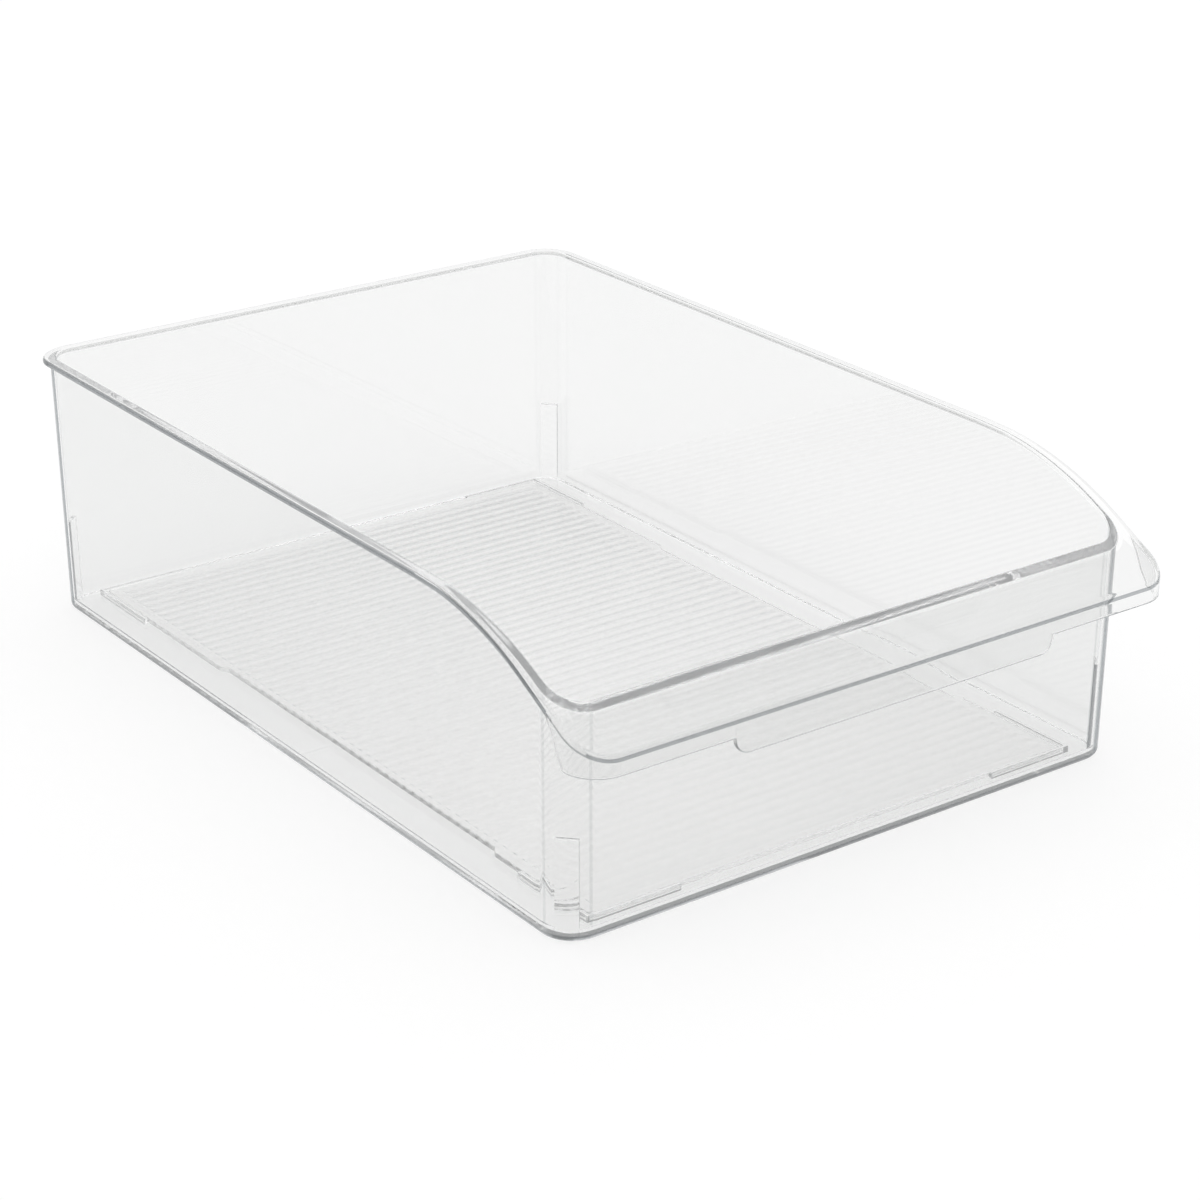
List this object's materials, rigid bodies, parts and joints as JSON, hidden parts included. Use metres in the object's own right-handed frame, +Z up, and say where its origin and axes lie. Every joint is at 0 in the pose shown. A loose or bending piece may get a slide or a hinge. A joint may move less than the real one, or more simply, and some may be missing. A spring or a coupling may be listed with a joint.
{
  "type": "fridge bin",
  "caption": "Clear open-top bin for a fridge shelf, with a low front, a sloping pull lip with a downturned edge, and a loose ribbed liner on its floor.",
  "frame": {"origin": "centre of the overall length and width, on the surface the bin stands on", "axes": "+Z up, +Y to the back (the high end), -Y to the front where the pull lip is, +X to the right seen from the front"},
  "size_m": [0.2496, 0.368, 0.104],
  "materials": {
    "clear_tub": "clear, polished",
    "clear_liner": "clear, ribbed"
  },
  "bodies": {
    "tub": {"bin_tub": "clear_tub"},
    "liner": {"ribbed_liner": "clear_liner"}
  },
  "joints": [
    {"name": "liner_lift", "type": "slide", "parent": "tub", "child": "liner", "axis": [0, 0, 1], "range_m": [0, 0.107]}
  ]
}
